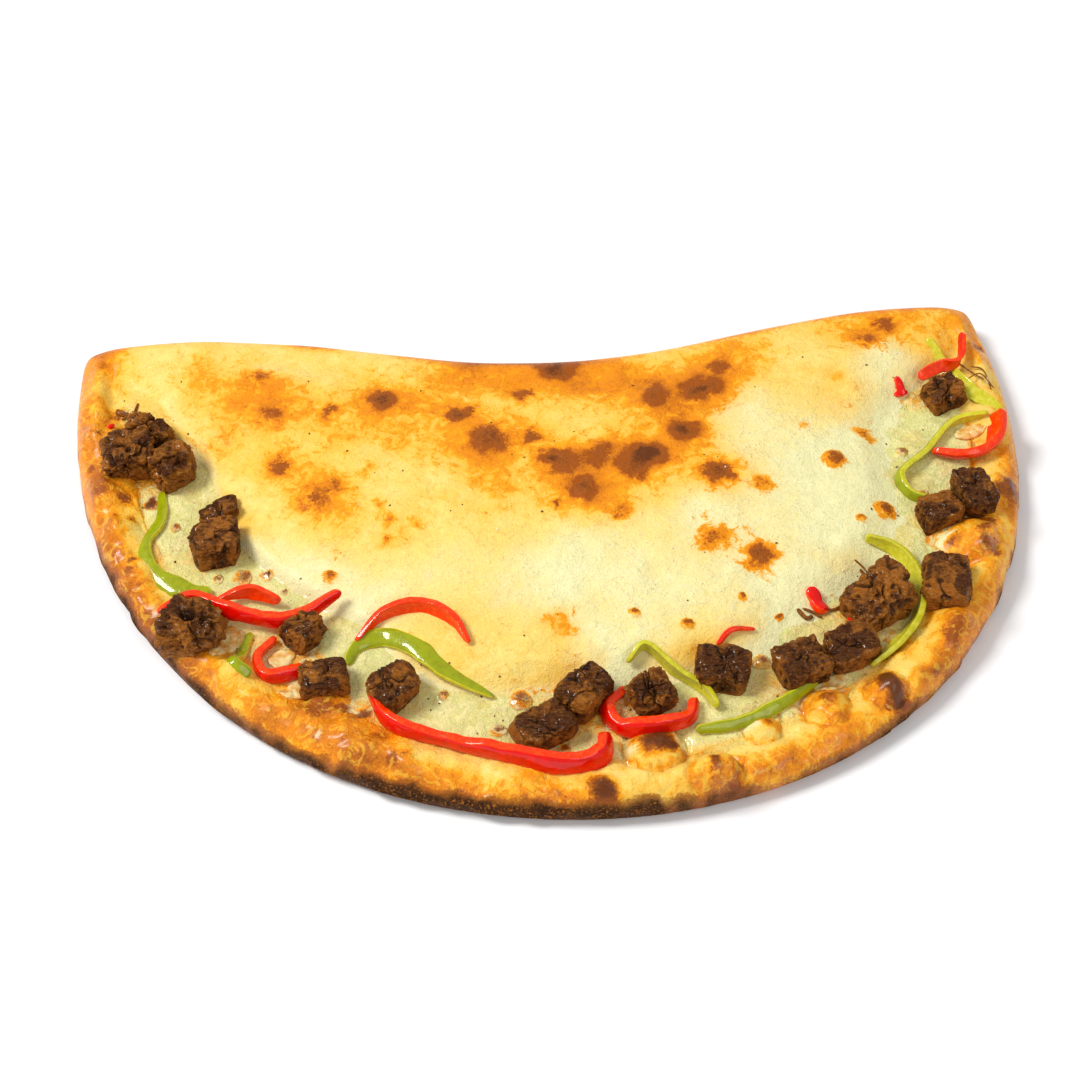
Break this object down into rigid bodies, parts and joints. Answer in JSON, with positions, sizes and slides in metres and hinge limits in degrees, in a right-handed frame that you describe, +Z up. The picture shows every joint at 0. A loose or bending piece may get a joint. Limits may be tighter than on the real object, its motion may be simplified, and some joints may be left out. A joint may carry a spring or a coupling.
{
  "type": "folded calzone with beef and peppers",
  "caption": "Baked half-moon calzone: a round of dough folded over melted cheese, with cubes of beef, pepper strips and onion slices along its open front edge.",
  "frame": {"origin": "middle of the whole food's plan, on the surface that it rests on", "axes": "+X along the fold to the right-hand end as seen from the rim side, +Y from the rim towards the fold, +Z up"},
  "size_m": [0.3278, 0.2032, 0.023],
  "materials": {
    "dough": "baked wheat dough, matt, golden with brown spots",
    "cheese": "melted cheese, soft satin sheen",
    "beef": "roasted beef, dark brown, slightly greasy",
    "red_pepper": "roasted red pepper, wet gloss",
    "green_pepper": "roasted green pepper, wet gloss",
    "onion": "softened onion, wet gloss"
  },
  "bodies": {
    "root": {"dough": "dough", "cheese": "cheese", "onion_1": "onion", "onion_2": "onion", "onion_3": "onion", "onion_4": "onion", "onion_5": "onion", "onion_6": "onion", "green_pepper_1": "green_pepper", "green_pepper_2": "green_pepper", "green_pepper_3": "green_pepper", "green_pepper_4": "green_pepper", "green_pepper_5": "green_pepper", "green_pepper_6": "green_pepper", "green_pepper_7": "green_pepper", "green_pepper_8": "green_pepper", "beef_1": "beef", "beef_2": "beef", "beef_3": "beef", "beef_4": "beef", "beef_5": "beef", "beef_6": "beef", "beef_7": "beef", "beef_8": "beef", "beef_9": "beef", "beef_10": "beef", "beef_11": "beef", "beef_12": "beef", "beef_13": "beef", "beef_14": "beef", "beef_15": "beef", "beef_16": "beef", "beef_17": "beef", "beef_18": "beef", "beef_19": "beef", "beef_20": "beef", "red_pepper_1": "red_pepper", "red_pepper_2": "red_pepper", "red_pepper_3": "red_pepper", "red_pepper_4": "red_pepper", "red_pepper_5": "red_pepper", "red_pepper_6": "red_pepper", "red_pepper_7": "red_pepper", "red_pepper_8": "red_pepper", "red_pepper_9": "red_pepper", "red_pepper_10": "red_pepper"}
  },
  "joints": []
}
